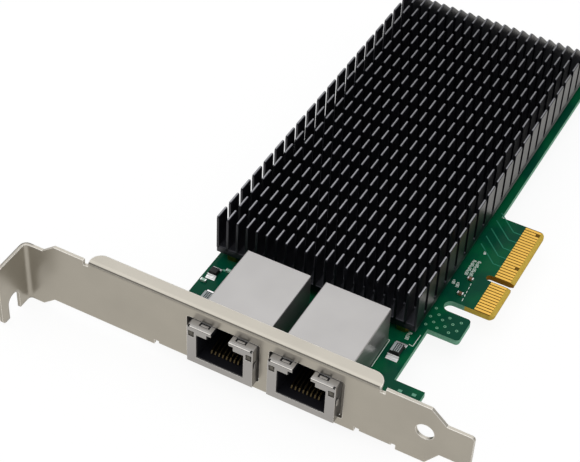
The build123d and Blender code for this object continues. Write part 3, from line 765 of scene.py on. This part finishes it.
class CARD_OT_stage(bpy.types.Operator):
    """Sets the camera, a plain pale floor, even light and two soft lamps"""

    bl_idname = "card.stage"
    bl_label = "Stage"

    def execute(self, context):
        scene = context.scene
        settings = scene.card_studio
        scene.view_settings.view_transform = "Standard"
        self.camera(scene, settings)
        self.floor(scene)
        self.surroundings(scene, settings)
        self.lamp(scene, "Key lamp", settings.key_place, settings.lamp_side, settings.key_energy)
        self.lamp(scene, "Fill lamp", settings.fill_place, settings.lamp_side, settings.fill_energy)
        return {"FINISHED"}

    def camera(self, scene, settings):
        """The photograph's camera: its angle, place and lens."""
        turn, rise = settings.azimuth, settings.elevation
        back = Vector(
            (
                math.sin(turn) * math.cos(rise),
                -math.cos(turn) * math.cos(rise),
                math.sin(rise),
            )
        )
        level = (-back).cross(Vector((0, 0, 1))).normalized()
        upright = level.cross(-back)
        right = math.cos(settings.roll) * level + math.sin(settings.roll) * upright
        above = math.cos(settings.roll) * upright - math.sin(settings.roll) * level
        data = bpy.data.cameras.new("Camera")
        data.sensor_fit = "HORIZONTAL"
        data.sensor_width = 36
        data.lens = settings.lens
        data.clip_start = 0.01
        data.clip_end = 20
        camera = bpy.data.objects.new("Camera", data)
        camera.matrix_world = Matrix.Translation(settings.position) @ (
            Matrix((right, above, back)).transposed().to_4x4()
        )
        scene.collection.objects.link(camera)
        scene.camera = camera

    def floor(self, scene):
        """A wide floor just under the card's lowest point."""
        middle = (CAD_BOX[0] + CAD_BOX[1]) / 2
        gap, reach = 0.0002, 6.0
        mesh = bmesh.new()
        bmesh.ops.create_grid(mesh, x_segments=1, y_segments=1, size=reach)
        bmesh.ops.translate(
            mesh, vec=(middle.x, middle.y, CAD_BOX[0].z - gap), verts=mesh.verts
        )
        data = bpy.data.meshes.new("Floor")
        mesh.to_mesh(data)
        mesh.free()
        data.materials.append(self.paper())
        floor = bpy.data.objects.new("Floor", data)
        scene.collection.objects.link(floor)

    def mirrored(self, tree, rays):
        """1 for rays that metal or clear plastic sends on."""
        return add(
            tree,
            "Math",
            {0: rays["Is Glossy Ray"], 1: rays["Is Transmission Ray"]},
            operation="MAXIMUM",
        )

    def paper(self):
        """Matt white paper: seen as white with a faint shadow, and a little warm in reflections."""
        made, tree, _ = new_material("White paper floor")
        white, warm = tone((1, 1, 1)), tone(linear("#f7f4ee"))
        rays = add(tree, "LightPath", output=None).outputs
        mirrored = self.mirrored(tree, rays)
        seen = add(tree, "Math", {0: rays["Is Camera Ray"], 1: mirrored}, operation="MAXIMUM")
        tint = add(tree, "MixRGB", {"Fac": mirrored, "Color1": white, "Color2": warm})
        lit = add(tree, "BsdfDiffuse", {"Color": tone(white, 0.8)})
        faint = add(tree, "BsdfDiffuse", {"Color": tone(white, 0.12)})
        glow = add(tree, "Emission", {"Color": tint, "Strength": 0.9})
        both = add(tree, "AddShader", {0: faint, 1: glow})
        show(tree, "MixShader", {0: seen, 1: lit, 2: both})
        return made

    def surroundings(self, scene, settings):
        """Even light, seen as white, and dim near the horizon where metal mirrors it."""
        world = bpy.data.worlds.new("Studio")
        world.use_nodes = True
        tree = world.node_tree
        tree.nodes.clear()
        rays = add(tree, "LightPath", output=None).outputs
        towards = add(tree, "TexCoord", output="Generated")
        height = add(tree, "SeparateXYZ", {0: towards}, "Z")
        mirror = add(
            tree,
            "MapRange",
            {
                "Value": height,
                "From Min": 0.1,
                "From Max": 0.4,
                "To Min": settings.horizon,
                "To Max": settings.zenith,
            },
        )
        mirrored = self.mirrored(tree, rays)
        level = add(
            tree, "Mix", {"Factor": mirrored, "A": settings.ambient, "B": mirror}, data_type="FLOAT"
        )
        seen = rays["Is Camera Ray"]
        strength = add(tree, "Mix", {"Factor": seen, "A": level, "B": 1.0}, data_type="FLOAT")
        sky = add(tree, "Background", {"Color": tone((1, 1, 1)), "Strength": strength})
        add(tree, "OutputWorld", {"Surface": sky}, None)
        scene.world = world

    def lamp(self, scene, name, place, side, energy):
        """A soft square lamp aimed at the card."""
        data = bpy.data.lights.new(name, "AREA")
        data.shape = "SQUARE"
        data.size = side
        data.energy = energy
        made = bpy.data.objects.new(name, data)
        made.location = (CAD_BOX[0] + CAD_BOX[1]) / 2 + Vector(place)
        made.rotation_mode = "QUATERNION"
        made.rotation_quaternion = Vector(place).to_track_quat("Z", "Y")
        scene.collection.objects.link(made)


class CARD_OT_board(bpy.types.Operator):
    """Finishes the circuit board with mask, tracks, vias, print and plated contacts"""

    bl_idname = "card.board"
    bl_label = "Circuit board"

    # Where the tracks leave the contacts, in Y
    track_starts = (5.2, 8.5, 11.8, 15.3, 18.6)
    # Section of a via's ring, in shares of its radius and thickness
    via_ring = ((0.45, 0), (0.55, 1), (0.8, 1), (1, 0), (0.45, 0))
    # Middles of the vias on the retention tab
    tab_vias = (
        (-13.5, -16.3), (-12.0, -18.0), (-13.5, -22.5), (-12.1, -20.9), (-10.5, -19.2),
        (-9.2, -17.7), (-13.6, -19.5), (-10.6, -22.3), (-9.1, -20.9), (-7.7, -19.3),
        (-6.1, -17.8), (-7.5, -22.3), (-6.0, -20.8),
    )
    # Start and end of each printed line
    outlines = (
        ((-13.0, -26.5), (-13.1, -30.8)),
        ((-13.1, -30.8), (-14.2, -30.6)),
        ((-19.6, -31.7), (-18.8, -31.7)),
        ((-18.8, -31.7), (-18.8, -41.6)),
        ((-9.0, -10.9), (-9.1, -9.9)),
        ((-9.1, -9.2), (-9.2, -8.4)),
        ((-9.2, -7.8), (-9.25, -7.0)),
        ((-9.3, -6.3), (-9.35, -5.5)),
        ((-9.4, -4.9), (-9.5, -4.1)),
    )
    # X, start and end in Y, and height of each row of strokes
    print_rows = (
        (-11.95, -1.9, 3.9, 0.8),
        (-10.75, -1.7, 4.3, 0.8),
        (-10.8, 7.2, 8.6, 0.6),
        (-13.5, -6.4, -5.0, 0.7),
        (-12.2, -7.0, -5.4, 0.8),
        (-15.5, -29.4, -27.0, 0.9),
    )
    # Turning points of each mark, in shares of its length and height
    strokes = (
        ((0, 0), (0, 1), (1, 1), (1, 0)),
        ((0, 1), (0, 0), (1, 0), (1, 1)),
        ((0, 0.5), (1, 0.5), (1, 0), (0, 0)),
    )
    # Middle and size of each pad
    pads = (
        ((-9.7, -45.0), (1.0, 0.8)),
        ((-6.3, -44.5), (1.0, 0.8)),
        ((-64.9, -31.5), (0.9, 0.5)),
    )

    def execute(self, context):
        settings = context.scene.card_board
        finish_node("circuit_board", masked_laminate(settings))
        gold = hard_gold("Hard gold plating", settings.gold_colour)
        for side in ("component", "solder"):
            finish_node("edge_contacts_" + side + "_side", gold)
        self.tracks(settings)
        self.vias(settings)
        self.marks()
        return {"FINISHED"}

    def tracks(self, settings):
        """Signal tracks that fan out from the contacts on both sides."""
        width = settings.track_width / MM
        thickness, bend, run, rise = 0.02, -7.5, 5.6, 5.2
        mesh = bmesh.new()
        for y in self.track_starts:
            turn = (bend, y)
            end = (bend - run, y + rise)
            for level in (BOARD_HIGH.z, BOARD_LOW.z - thickness):
                strip(mesh, (CONTACTS_LOW.x, y), turn, width, level, thickness)
                strip(mesh, turn, end, width, level, thickness)
        material = masked_copper("Solder mask over tracks", linear("#2a7a60"))
        piece(mesh, "board_tracks", [material])

    def vias(self, settings):
        """Plated holes as small raised rings, close together on the retention tab; their pale green is
        partly thin mask over copper and partly a painted highlight.
        """
        radius = settings.via_radius / MM
        count, seed, thickness = 90, 4, 0.04
        rim, contacts_gap, jacks_gap = 4, 10, 40
        chance = random.Random(seed)
        x_range = (BOARD_LOW.x + rim, CONTACTS_LOW.x - contacts_gap)
        y_range = (BOARD_LOW.y + jacks_gap, BOARD_HIGH.y - rim)
        scattered = [
            (chance.uniform(*x_range), chance.uniform(*y_range)) for _ in range(count)
        ]
        ring = [(radius * out, thickness * up) for out, up in self.via_ring]
        under = [(reach, -height) for reach, height in ring]
        mesh = bmesh.new()
        for x, y in self.tab_vias:
            lathe(mesh, (x, y, BOARD_HIGH.z), ring, segments=10)
        for x, y in (*self.tab_vias, *scattered):
            lathe(mesh, (x, y, BOARD_LOW.z), under, segments=8)
        # Pale green of the rings: partly thin mask over copper, partly a painted highlight.
        material = masked_copper("Thin mask on via rings with painted highlight", linear("#7db596"))
        piece(mesh, "board_vias", [material])

    def marks(self):
        """Outline marks round the parts, rows of plain strokes in place of print, and test pads."""
        line, thickness, share, pitch, middle = 0.17, 0.02, 0.6, 0.75, 0.5
        mesh = bmesh.new()
        for start, end in self.outlines:
            strip(mesh, start, end, line, BOARD_HIGH.z, thickness)
        for x, start, end, height in self.print_rows:
            step = height * pitch
            for number in range(round((end - start) / step)):
                turns = [
                    (x + (across - middle) * height, start + step * (number + along * share))
                    for along, across in self.strokes[number % len(self.strokes)]
                ]
                for pair in zip(turns, turns[1:]):
                    strip(mesh, *pair, line, BOARD_HIGH.z, thickness)
        ink = screen_ink("Screen-printed epoxy ink", "#c2d8cb", "#eef6ef")
        piece(mesh, "board_print", [ink])
        mesh = bmesh.new()
        for (x, y), (width, length) in self.pads:
            block(mesh, (x, y, BOARD_HIGH.z + thickness), (width, length, thickness * 2))
        material = masked_copper("Mask over pads", linear("#6fa990"))
        piece(mesh, "board_pads", [material])


class CARD_OT_bracket(bpy.types.Operator):
    """Finishes the bracket and builds its screws and the heatsink's"""

    bl_idname = "card.bracket"
    bl_label = "Bracket"

    # The tab's bend: the X that it ends at, and the softness of its edges
    bend = (-103.5, 1.1)
    # The stretch of the flange's fold that mirrors no light
    crease = {
        "X": (-87.0, -9.8),
        "Y": (BRACKET_INNER - 0.9, BRACKET_INNER - 0.2),
        "Z": (BRACKET_TOP - 0.5, BRACKET_TOP - 0.26),
    }
    # A pan head with its round-bottomed socket, in shares of its radius and height
    pan_head = (
        (1, 0), (1, 0.35), (0.94, 0.65), (0.78, 0.9), (0.56, 1), (0.46, 1), (0.4, 0.45), (0, 0.35),
    )

    def execute(self, context):
        settings = context.scene.card_bracket
        sheet = plated_sheet_steel(
            "Nickel-plated bracket steel",
            settings.steel_colour,
            rough=0.3,
            edge=0.15,
            bend=self.bend,
            crease=self.crease,
        )
        finish_node("bracket", sheet)
        steel = plain_metal("Nickel-plated screw steel", "#b9b6b2", rough=0.3, grain=0.4)
        self.screws("bracket_screws", BOARD_HIGH.z, 1, settings.bracket_shank / MM, steel)
        self.screws("heatsink_screws", BOARD_LOW.z, -1, settings.sink_shank / MM, steel)
        return {"FINISHED"}

    def screws(self, node, seat, side, shank, steel):
        """Pan-head screws standing on a face of the board, with their shanks through it."""
        point = 0.25
        mesh = bmesh.new()
        for low, high in islands(node):
            radius = (high.y - low.y) / 2
            head = (high.z if side > 0 else low.z) - seat
            tip = (low.z if side > 0 else high.z) - seat
            profile = [
                (0, tip),
                (shank / 2 - point, tip),
                (shank / 2, tip + side * point),
                (shank / 2, 0),
                *((radius * out, head * up) for out, up in self.pan_head),
            ]
            middle = (low + high) / 2
            lathe(mesh, (middle.x, middle.y, seat), profile, segments=28)
        piece(mesh, node + "_turned", [steel], smooth=True, replaces=[node])


class CARD_OT_heatsink(bpy.types.Operator):
    """Builds the pin-fin heatsink with rounded fins, and finishes its posts and pad"""

    bl_idname = "card.heatsink"
    bl_label = "Heatsink"

    # Place of the painted highlight of the fin tips in the fins' list of materials
    TIP_HIGHLIGHT = 1

    def execute(self, context):
        settings = context.scene.card_heatsink
        base_top = SINK_LOW.z + settings.base_thickness / MM
        thickness = settings.fin_thickness / MM
        mesh = bmesh.new()
        self.fin_row(mesh, settings, base_top)
        self.fold_out(mesh, settings, thickness)
        pitch = (SINK_HIGH.x - SINK_LOW.x - thickness) / (settings.columns - 1)
        first = list(mesh.verts) + list(mesh.edges) + list(mesh.faces)
        for column in range(1, settings.columns):
            made = bmesh.ops.duplicate(mesh, geom=first)["geom"]
            copied = [item for item in made if isinstance(item, bmesh.types.BMVert)]
            bmesh.ops.translate(mesh, vec=(column * pitch, 0, 0), verts=copied)
        size = SINK_HIGH - SINK_LOW
        middle = (SINK_LOW + SINK_HIGH) / 2
        block(
            mesh,
            (middle.x, middle.y, (SINK_LOW.z + base_top) / 2),
            (size.x, size.y, base_top - SINK_LOW.z),
            edge=0.2,
        )
        piece(
            mesh,
            "heatsink_fins",
            [black_anodised_aluminium(settings), fin_tip_highlight(settings)],
            replaces=["heatsink"],
        )
        brass = plain_metal("Turned brass", "#a8853c", rough=0.3, grain=0.5)
        finish_node("heatsink_standoffs", brass)
        silicone = moulded_plastic("Silicone thermal pad", "#8b8f94", "#9ba0a5", rough=0.75, grain=0.6)
        finish_node("thermal_pad", silicone)
        return {"FINISHED"}

    def fin_row(self, mesh, settings, base_top):
        """The flat outline of one comb of fins along the card, with round tips and roots."""
        length = settings.fin_length / MM
        slope_start = SINK_HIGH.y - settings.slope_run / MM
        pitch = (slope_start - length - SINK_LOW.y) / (settings.rows - 1)
        overlap, near = 0.6, 1e-4
        sunk, top = base_top - overlap, SINK_HIGH.z
        outline = [(SINK_LOW.y, sunk)]
        for row in range(settings.rows):
            start = SINK_LOW.y + row * pitch
            if row:
                outline.append((start, base_top))
            outline.append((start, top))
            outline.append((start + length, top))
            if row < settings.rows - 1:
                outline.append((start + length, base_top))
        outline.append((SINK_HIGH.y, base_top))
        outline.append((SINK_HIGH.y, sunk))
        mesh.faces.new([mesh.verts.new((SINK_LOW.x, y, z)) for y, z in outline])
        tips = [vert for vert in mesh.verts if vert.co.z > top - near]
        bevel(mesh, tips, settings.tip_radius / MM, segments=3, affect="VERTICES")
        roots = [
            vert
            for vert in mesh.verts
            if abs(vert.co.z - base_top) < near and vert.co.y < slope_start
        ]
        bevel(mesh, roots, settings.root_radius / MM, segments=4, affect="VERTICES")

    def fold_out(self, mesh, settings, thickness):
        """Gives the outline its thickness, bevels the crests of its tips, and gives its tips and its
        sloped end the painted highlight.
        """
        crest_bevel, reach, near = 0.13, 0.35, 1e-5
        level, tilted = 0.8, 0.1
        tip_start = SINK_HIGH.z - reach
        slope_start = SINK_HIGH.y - settings.slope_run / MM
        flat = list(mesh.faces)
        raised = bmesh.ops.extrude_face_region(mesh, geom=flat, use_keep_orig=True)["geom"]
        moved = [item for item in raised if isinstance(item, bmesh.types.BMVert)]
        bmesh.ops.translate(mesh, vec=(thickness, 0, 0), verts=moved)
        bmesh.ops.recalc_face_normals(mesh, faces=mesh.faces)
        crest = [
            edge
            for edge in mesh.edges
            if all(vert.co.z > tip_start for vert in edge.verts)
            and abs(edge.verts[0].co.x - edge.verts[1].co.x) < near
        ]
        bevel(mesh, crest, crest_bevel, segments=1)
        # Faces on the tips and the sloped end take the painted highlight.
        for face in mesh.faces:
            middle = face.calc_center_median()
            on_tip = face.normal.z > level and middle.z > tip_start
            on_slope = min(face.normal.y, face.normal.z) > tilted and middle.y > slope_start
            if on_tip or on_slope:
                face.material_index = self.TIP_HIGHLIGHT


class CARD_OT_jacks(bpy.types.Operator):
    """Finishes the two shielded jacks and adds their folds, springs, lenses and soldered pins"""

    bl_idname = "card.jacks"
    bl_label = "Jacks"

    # Places of the trim's materials in its list
    TIN, FOLD, SHADOW, LENS, COLLAR = range(5)
    # Size of a spring tongue, how far it starts behind its slot, and how deep its middle lies
    tongue, tongue_gap, tongue_drop = Vector((1.9, 0.55, 0.12)), 0.2, 0.04
    # Size of a light pipe's end, and its place from the shell's wall and top
    lens, lens_inset, lens_drop = (0.95, 0.1, 1.1), 1.1, 2.25
    # Half of a pin in its cone of solder, in shares of its reach and drop
    cone = (
        (0, 0), (1, 0), (0.8, 0.2), (0.5, 0.48), (0.38, 0.72), (0.38, 0.94), (0.28, 1), (0, 1),
    )

    def execute(self, context):
        settings = context.scene.card_jacks
        tin = plated_sheet_steel("Tinned shell steel", settings.shell_colour, rough=0.3, edge=0.06)
        # A near-white strip of painted highlight along each shell's folded front edge.
        fold = plain_metal("Painted highlight on a fold", "#f6f4f1", rough=0.3, grain=1.5)
        # A near-black material for strips and blocks of painted shade in gaps, seams and holes.
        painted_shade = moulded_plastic(
            "Painted shade in a gap", "#0b0b0d", "#131316", rough=0.7, grain=0.3
        )
        resin = moulded_plastic(
            "Jack housing thermoplastic", "#0c0c11", "#15151b", rough=0.5, grain=0.3
        )
        # Gold darkened with painted shade for the contacts deep in the jack.
        gold = hard_gold("Gold on sprung wires, darkened with painted shade", settings.shaded_wire_colour)
        pipe = light_pipe_resin()
        lens = moulded_plastic(
            "Frosted end of a light pipe", "#4f4b42", "#67635a", rough=0.5, grain=0.3
        )
        collar = moulded_plastic("Dull tinned collar", "#8a857c", "#9f998f", rough=0.5, grain=0.5)
        solder = plain_metal("Tin solder", "#c4c4c6", rough=0.24, grain=0.5)
        for side in SHELLS:
            finish_node("jack_shell_" + side, tin)
            finish_node("jack_housing_" + side, resin)
            finish_node("jack_contacts_" + side, gold)
            finish_node("jack_lights_" + side, pipe)
            self.trim(side, settings, [tin, fold, painted_shade, lens, collar])
            self.joints(side, solder)
        return {"FINISHED"}

    def trim(self, side, settings, materials):
        """Folds with a painted highlight strip and a painted shade strip, corner holes as dark blocks
        of painted shade, spring tongues, lenses and collars of one jack.
        """
        low, high = SHELLS[side]
        middle, front, top = (low.x + high.x) / 2, low.y, high.z
        half = settings.width / MM / 2
        setback = front + settings.slot_setback / MM
        mesh = bmesh.new()
        for hand in (1, -1):
            self.fold(mesh, settings, middle, front, top, hand)
            self.collar(mesh, middle + hand * half, top, hand)
            place = middle + hand * settings.slot_place / MM
            block(
                mesh,
                (place, setback + self.tongue_gap + self.tongue.y / 2, top - self.tongue_drop),
                self.tongue,
                edge=0.04,
                material=self.TIN,
            )
            block(
                mesh,
                (middle + hand * (half - self.lens_inset), front, top - self.lens_drop),
                self.lens,
                material=self.LENS,
            )
        piece(mesh, "jack_trim_" + side, materials)

    def fold(self, mesh, settings, middle, front, top, hand):
        """The crisp folded edge of the shell's front, with a near-white strip of painted highlight
        along it and a dark strip of painted shade for the seam under it, and its corner hole as a dark
        block of painted shade.
        """
        proud, deep, thick, seam, hole, end = 0.05, 0.45, 0.26, 0.2, 0.5, 0.25
        half, latch = settings.width / MM / 2, settings.latch_width / MM / 2
        run = half - hole - end - latch
        x = middle + hand * (latch + run / 2)
        level = top + proud - thick / 2
        block(
            mesh, (x, front + deep / 2, level), (run, deep + 2 * proud, thick), material=self.TIN
        )
        # The painted highlight along the fold.
        block(mesh, (x, front - proud, level), (run, proud, thick), material=self.FOLD)
        level -= (thick + seam) / 2
        # A dark strip of painted shade for the seam under the fold.
        block(mesh, (x, front, level), (run, proud, seam), material=self.SHADOW)
        # A dark block of painted shade stands for the corner hole.
        x = middle + hand * (half - end - hole / 2)
        block(
            mesh,
            (x, front + hole / 2 - proud, top - hole / 2 + proud),
            (hole, hole, hole),
            edge=0.05,
            material=self.SHADOW,
        )

    def collar(self, mesh, wall, top, hand):
        """Grounding collar that closes the gap beside the shell, just behind the bracket; on the -X
        hand it is a dark strip of painted shade.
        """
        reach, depth, clear, above, wall_gap = 1.75, 0.2, 0.1, 0.5, 0.02
        low, high = BOARD_LOW.z, top + above
        block(
            mesh,
            (
                wall + hand * (reach / 2 + wall_gap),
                BRACKET_INNER + clear + depth / 2,
                (low + high) / 2,
            ),
            (reach, depth, high - low),
            edge=0.05,
            # On the -X hand the collar is a strip of painted shade.
            material=self.COLLAR if hand > 0 else self.SHADOW,
        )

    def joints(self, side, solder):
        """Terminal pins in their cones of solder, on the solder side."""
        mesh = bmesh.new()
        for low, high in islands("jack_pins_" + side):
            reach = (high.y - low.y) / 2
            drop = low.z - high.z
            profile = [(reach * out, drop * down) for out, down in self.cone]
            middle = (low + high) / 2
            lathe(mesh, (middle.x, middle.y, high.z), profile, segments=14)
        node = "jack_pins_" + side
        piece(mesh, "jack_joints_" + side, [solder], smooth=True, replaces=[node])


class CARD_OT_parts(bpy.types.Operator):
    """Builds the diodes and ceramic parts, and finishes what lies under the heatsink"""

    bl_idname = "card.parts"
    bl_label = "Small parts"

    # Places of the lead's tin and the print's ink in a part's list of materials
    TIN, INK = 1, 2

    def execute(self, context):
        resin = moulded_plastic("Moulded epoxy package", "#0d0d0f", "#19191c", rough=0.5, grain=0.25)
        tin = plain_metal("Tinned leads", "#dedede", rough=0.36, grain=0.7)
        ink = screen_ink("Printed package ink", "#8f9a9b", "#b4bcbc")
        titanate = ceramic_body("Barium titanate ceramic", "#5d3f2b", "#80593d")
        pale = ceramic_body("Pale glass ceramic", "#8fb8a3", "#b3d2c1")
        self.diodes("surge_diodes", [resin, tin, ink], True)
        self.diodes("supply_diode", [resin, tin, ink], False)
        self.ceramics("chip_capacitors", [pale, tin])
        for node in ("edge_capacitors", "decoupling_capacitors"):
            self.ceramics(node, [titanate, tin])
        for node in ("controller_chip", "voltage_regulators", "flash_memory"):
            finish_node(node, resin)
        finish_node("crystal", tin)
        powder = moulded_plastic("Pressed iron powder", "#4a4a4d", "#626266", rough=0.7, grain=0.35)
        finish_node("power_inductors", powder)
        return {"FINISHED"}

    def diodes(self, node, materials, banded):
        """Drafted bodies on two folded leads with their solder, and plain bars where they are
        printed."""
        foot, lead, stand, ink_height = 0.95, 0.3, 0.15, 0.02
        pad_height, near_pad = 0.12, 0.4
        far_pad = 0.6 if banded else 0.15
        draft, squat, far_gap = 0.88, 0.74, 0.85
        ground = BOARD_HIGH.z
        mesh = bmesh.new()
        for low, high in islands(node):
            wide = high.x - low.x
            width, span = wide * draft, high.y - low.y - 2 * foot - far_gap
            x, y = (low.x + high.x) / 2, (low.y + high.y - far_gap) / 2
            top = ground + (high.z - ground) * squat
            seam, under = (ground + top) / 2, ground + stand
            upper = (width, span, top - seam)
            lower = (width * draft, span * draft, seam - under)
            block(mesh, (x, y, (seam + top) / 2), upper, edge=0.08, taper=draft)
            block(mesh, (x, y, (seam + under) / 2), lower, edge=0.06, taper=1 / draft)
            if banded:
                self.print_bars(mesh, (x, y, top), width * draft, span * draft, ink_height)
            for end, pad_reach in ((1, far_pad), (-1, near_pad)):
                wall = y + end * span / 2
                pad = foot + pad_reach
                for reach, height, edge in (
                    (lead, seam - ground, 0.12),
                    (foot, lead, 0.12),
                    (pad, pad_height, 0.05),
                ):
                    place = (x, wall + end * reach / 2, ground + height / 2)
                    block(mesh, place, (wide, reach, height), edge=edge, material=self.TIN)
        piece(mesh, node + "_bodies", materials, replaces=[node])

    def print_bars(self, mesh, place, width, span, thickness):
        """A cathode band along one side and rows of plain dashes beside it."""
        band, band_wide, band_long = 0.3, 0.27, 0.96
        rows, row_start, row_pitch = 3, -0.06, 0.21
        dashes, dash_pitch, dash_wide, dash_long = 5, 0.17, 0.13, 0.13
        x, y, top = place
        block(
            mesh,
            (x - width * (0.5 - band / 2), y, top),
            (width * band_wide, span * band_long, thickness),
            material=self.INK,
        )
        dash = (width * dash_wide, span * dash_long, thickness)
        for row in range(rows):
            across = x + width * (row_start + row_pitch * row)
            for number in range(dashes):
                along = y + span * (number - (dashes - 1) / 2) * dash_pitch
                block(mesh, (across, along, top), dash, material=self.INK)

    def ceramics(self, node, materials):
        """Ceramic bodies between tinned ends, which stand a little proud of them."""
        end_length, proud = 0.35, 0.04
        mesh = bmesh.new()
        for low, high in islands(node):
            middle, size = (low + high) / 2, high - low
            block(
                mesh,
                middle,
                (size.x - end_length, size.y - 2 * proud, size.z - proud),
                edge=0.04,
            )
            for end in (1, -1):
                block(
                    mesh,
                    (middle.x + end * (size.x - end_length) / 2, middle.y, middle.z),
                    (end_length, size.y, size.z),
                    edge=0.07,
                    material=self.TIN,
                )
        piece(mesh, node + "_bodies", materials, replaces=[node])


class CARD_PT_panel(bpy.types.Panel):
    """Lists the pieces of the card"""

    bl_idname = "CARD_PT_panel"
    bl_label = "Network Card"
    bl_space_type = "VIEW_3D"
    bl_region_type = "UI"
    bl_category = "Network Card"

    def draw(self, context):
        for operator in OPERATORS:
            self.layout.operator(operator.bl_idname)
        for group in SETTINGS:
            column = self.layout.box().column()
            values = getattr(context.scene, group)
            for name in values.__annotations__:
                column.prop(values, name)


SETTINGS = {
    "card_studio": StudioSettings,
    "card_board": BoardSettings,
    "card_bracket": BracketSettings,
    "card_heatsink": HeatsinkSettings,
    "card_jacks": JackSettings,
}
OPERATORS = (
    CARD_OT_stage,
    CARD_OT_board,
    CARD_OT_bracket,
    CARD_OT_heatsink,
    CARD_OT_jacks,
    CARD_OT_parts,
)
CLASSES = (*SETTINGS.values(), *OPERATORS, CARD_PT_panel)


def register():
    """Registers the classes and their settings."""
    for each in CLASSES:
        bpy.utils.register_class(each)
    for name, group in SETTINGS.items():
        setattr(bpy.types.Scene, name, PointerProperty(type=group))


def unregister():
    """Takes the classes and their settings away again."""
    for name in SETTINGS:
        delattr(bpy.types.Scene, name)
    for each in reversed(CLASSES):
        bpy.utils.unregister_class(each)


def main():
    """Builds every piece."""
    register()
    bpy.ops.card.stage()
    bpy.ops.card.board()
    bpy.ops.card.bracket()
    bpy.ops.card.heatsink()
    bpy.ops.card.jacks()
    bpy.ops.card.parts()


if __name__ == "__main__":
    main()
